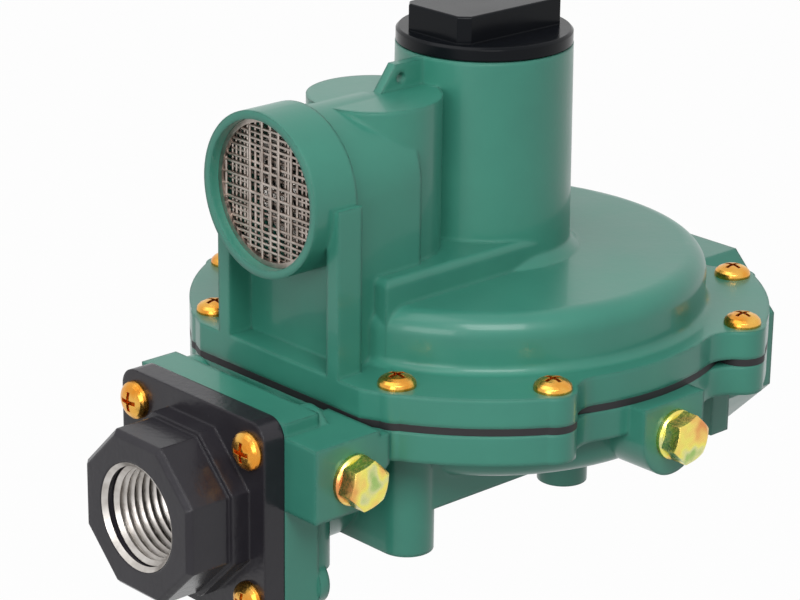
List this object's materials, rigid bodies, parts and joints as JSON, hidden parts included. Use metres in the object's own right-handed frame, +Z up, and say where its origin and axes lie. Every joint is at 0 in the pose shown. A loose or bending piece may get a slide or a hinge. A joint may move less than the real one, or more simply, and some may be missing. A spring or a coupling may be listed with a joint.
{
  "type": "gas pressure regulator",
  "caption": "Spring-loaded gas pressure regulator: lobed round diaphragm case, spring tower with screw-on cap, screened side vent, bolted octagonal pipe inlet and tap plugs.",
  "frame": {"origin": "where the pipe axis crosses the diaphragm axis", "axes": "+X along the pipe axis from inlet to outlet, +Z up the diaphragm axis towards the closing cap"},
  "size_m": [0.163, 0.1143, 0.1092],
  "materials": {
    "green_paint": "gloss",
    "black_paint": "gloss",
    "black_plastic": "gloss",
    "gold_zinc": "bright yellow plating",
    "yellow_zinc": "iridescent yellow plating",
    "screen_steel": "woven wire",
    "plated_steel": "zinc plated",
    "bare_aluminium": "as turned",
    "brass_part": "turned",
    "black_rubber": "matt",
    "white_plastic": "matt"
  },
  "bodies": {
    "case": {"lower_casing": "green_paint", "spring_case": "green_paint", "inlet_body": "black_paint", "inlet_seal": "black_rubber", "case_screw_1": "gold_zinc", "case_screw_2": "gold_zinc", "case_screw_3": "gold_zinc", "case_screw_4": "gold_zinc", "case_screw_5": "gold_zinc", "case_screw_6": "gold_zinc", "case_screw_7": "gold_zinc", "case_screw_8": "gold_zinc", "inlet_screw_1": "gold_zinc", "inlet_screw_2": "gold_zinc", "inlet_screw_3": "gold_zinc", "inlet_screw_4": "gold_zinc", "inlet_tap_plug": "yellow_zinc", "outlet_tap_plug": "yellow_zinc", "diaphragm_edge": "black_rubber", "diaphragm_roll": "black_rubber", "orifice": "brass_part", "lever_bracket": "plated_steel", "bracket_screw_1": "plated_steel", "bracket_screw_2": "plated_steel", "lever_pin": "plated_steel", "flapper_guide": "plated_steel", "vent_spring": "plated_steel", "vent_screen": "screen_steel", "screen_ring": "screen_steel", "main_spring": "plated_steel"},
    "post": {"pusher_post": "bare_aluminium", "relief_retainer": "plated_steel", "relief_spring": "plated_steel"},
    "plate": {"diaphragm_plate": "plated_steel"},
    "lever": {"lever": "plated_steel"},
    "valve": {"disc_holder": "bare_aluminium", "valve_disc": "black_rubber"},
    "adjuster_seat": {"spring_seat": "bare_aluminium"},
    "adjuster": {"adjusting_screw": "bare_aluminium"},
    "cap_ring": {"cap_seal": "black_rubber"},
    "cap": {"closing_cap": "black_plastic"},
    "flapper": {"vent_flapper": "white_plastic"}
  },
  "joints": [
    {"name": "diaphragm_travel", "type": "slide", "parent": "case", "child": "post", "axis": [0, 0, 1], "range_m": [0, 0.004], "stiffness_N_per_m": 1500, "springref_m": -0.012, "deforming": ["main_spring", "diaphragm_roll"]},
    {"name": "relief_lift", "type": "slide", "parent": "post", "child": "plate", "axis": [0, 0, 1], "range_m": [0, 0.002], "stiffness_N_per_m": 3000, "springref_m": -0.004, "deforming": ["relief_spring", "main_spring", "diaphragm_roll"]},
    {"name": "lever_swing", "type": "hinge", "parent": "case", "child": "lever", "pos_m": [0.024, 0, 0.0086], "axis": [0, 1, 0], "range_deg": [0, 9.6]},
    {"name": "valve_slide", "type": "slide", "parent": "case", "child": "valve", "axis": [-1, 0, 0], "range_m": [0, 0.00144]},
    {"name": "adjuster_travel", "type": "slide", "parent": "case", "child": "adjuster_seat", "axis": [0, 0, 1], "range_m": [-0.00801, 0.00401], "deforming": ["main_spring"]},
    {"name": "adjuster_turn", "type": "hinge", "parent": "adjuster_seat", "child": "adjuster", "pos_m": [0, 0, 0.06], "axis": [0, 0, 1], "range_deg": [-1920, 960]},
    {"name": "cap_lift", "type": "slide", "parent": "case", "child": "cap_ring", "axis": [0, 0, 1], "range_m": [0, 0.00901]},
    {"name": "cap_turn", "type": "hinge", "parent": "cap_ring", "child": "cap", "pos_m": [0, 0, 0.08], "axis": [0, 0, 1], "range_deg": [0, 2160]},
    {"name": "vent_lift", "type": "slide", "parent": "case", "child": "flapper", "axis": [0, 0, 1], "range_m": [0, 0.005], "stiffness_N_per_m": 30, "springref_m": -0.006, "deforming": ["vent_spring"]}
  ],
  "couplings": [
    {"joint": "lever_swing", "follows": "diaphragm_travel", "rad_per_m": 41.667},
    {"joint": "valve_slide", "follows": "diaphragm_travel", "ratio": 0.35833},
    {"joint": "adjuster_travel", "follows": "adjuster_turn", "m_per_rad": 0.00023873},
    {"joint": "cap_lift", "follows": "cap_turn", "m_per_rad": 0.00023873}
  ]
}
